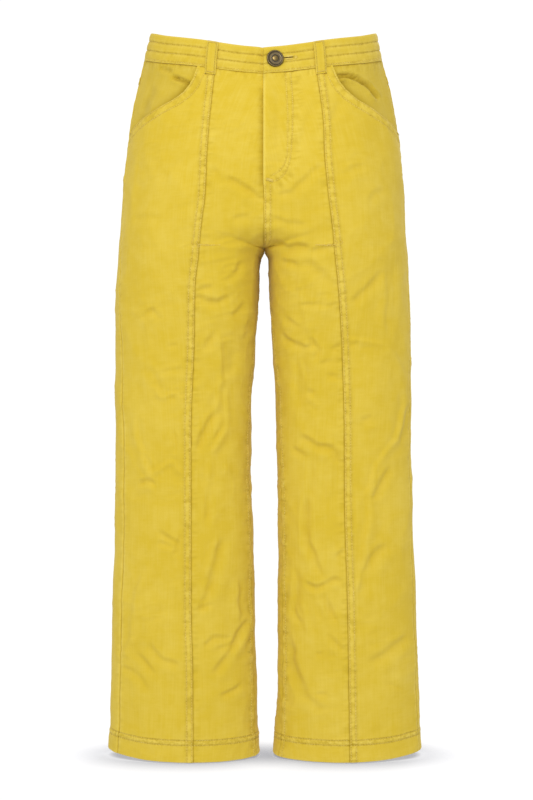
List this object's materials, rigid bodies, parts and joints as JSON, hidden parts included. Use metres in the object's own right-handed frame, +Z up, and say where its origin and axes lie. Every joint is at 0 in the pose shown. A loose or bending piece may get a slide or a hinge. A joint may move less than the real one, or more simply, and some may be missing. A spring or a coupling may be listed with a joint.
{
  "type": "wide leg jeans, worn shape with no wearer",
  "caption": "Hollow wide leg jeans in their worn shape: lapped waistband with a shank button, belt loops, scooped front pockets, long front seams and open turned-up hems.",
  "frame": {"origin": "centre of the waist's opening, level with the waistband's top edge at the sides, where the wearer's waist holds the jeans up", "axes": "+Z up, out of the waist; the front faces -Y; +X is the wearer's left"},
  "size_m": [0.416, 0.2468, 0.9671],
  "materials": {
    "twill": "garment-dyed cotton twill, matte",
    "band_twill": "garment-dyed cotton twill, two layers",
    "pocket_twill": "cotton twill, matte",
    "antique_metal": "antique brass plate, dull"
  },
  "bodies": {
    "root": {"back_left": "twill", "back_right": "twill", "button": "antique_metal", "fly_underlap": "twill", "front_inner_left": "twill", "front_inner_right": "twill", "front_outer_left": "twill", "front_outer_right": "twill", "loop_back_left": "band_twill", "loop_back_right": "band_twill", "loop_centre_back": "band_twill", "loop_front_left": "band_twill", "loop_front_right": "band_twill", "pocket_left": "pocket_twill", "pocket_right": "pocket_twill", "waistband_left": "band_twill", "waistband_right": "band_twill", "yoke_left": "twill", "yoke_right": "twill"}
  },
  "joints": []
}
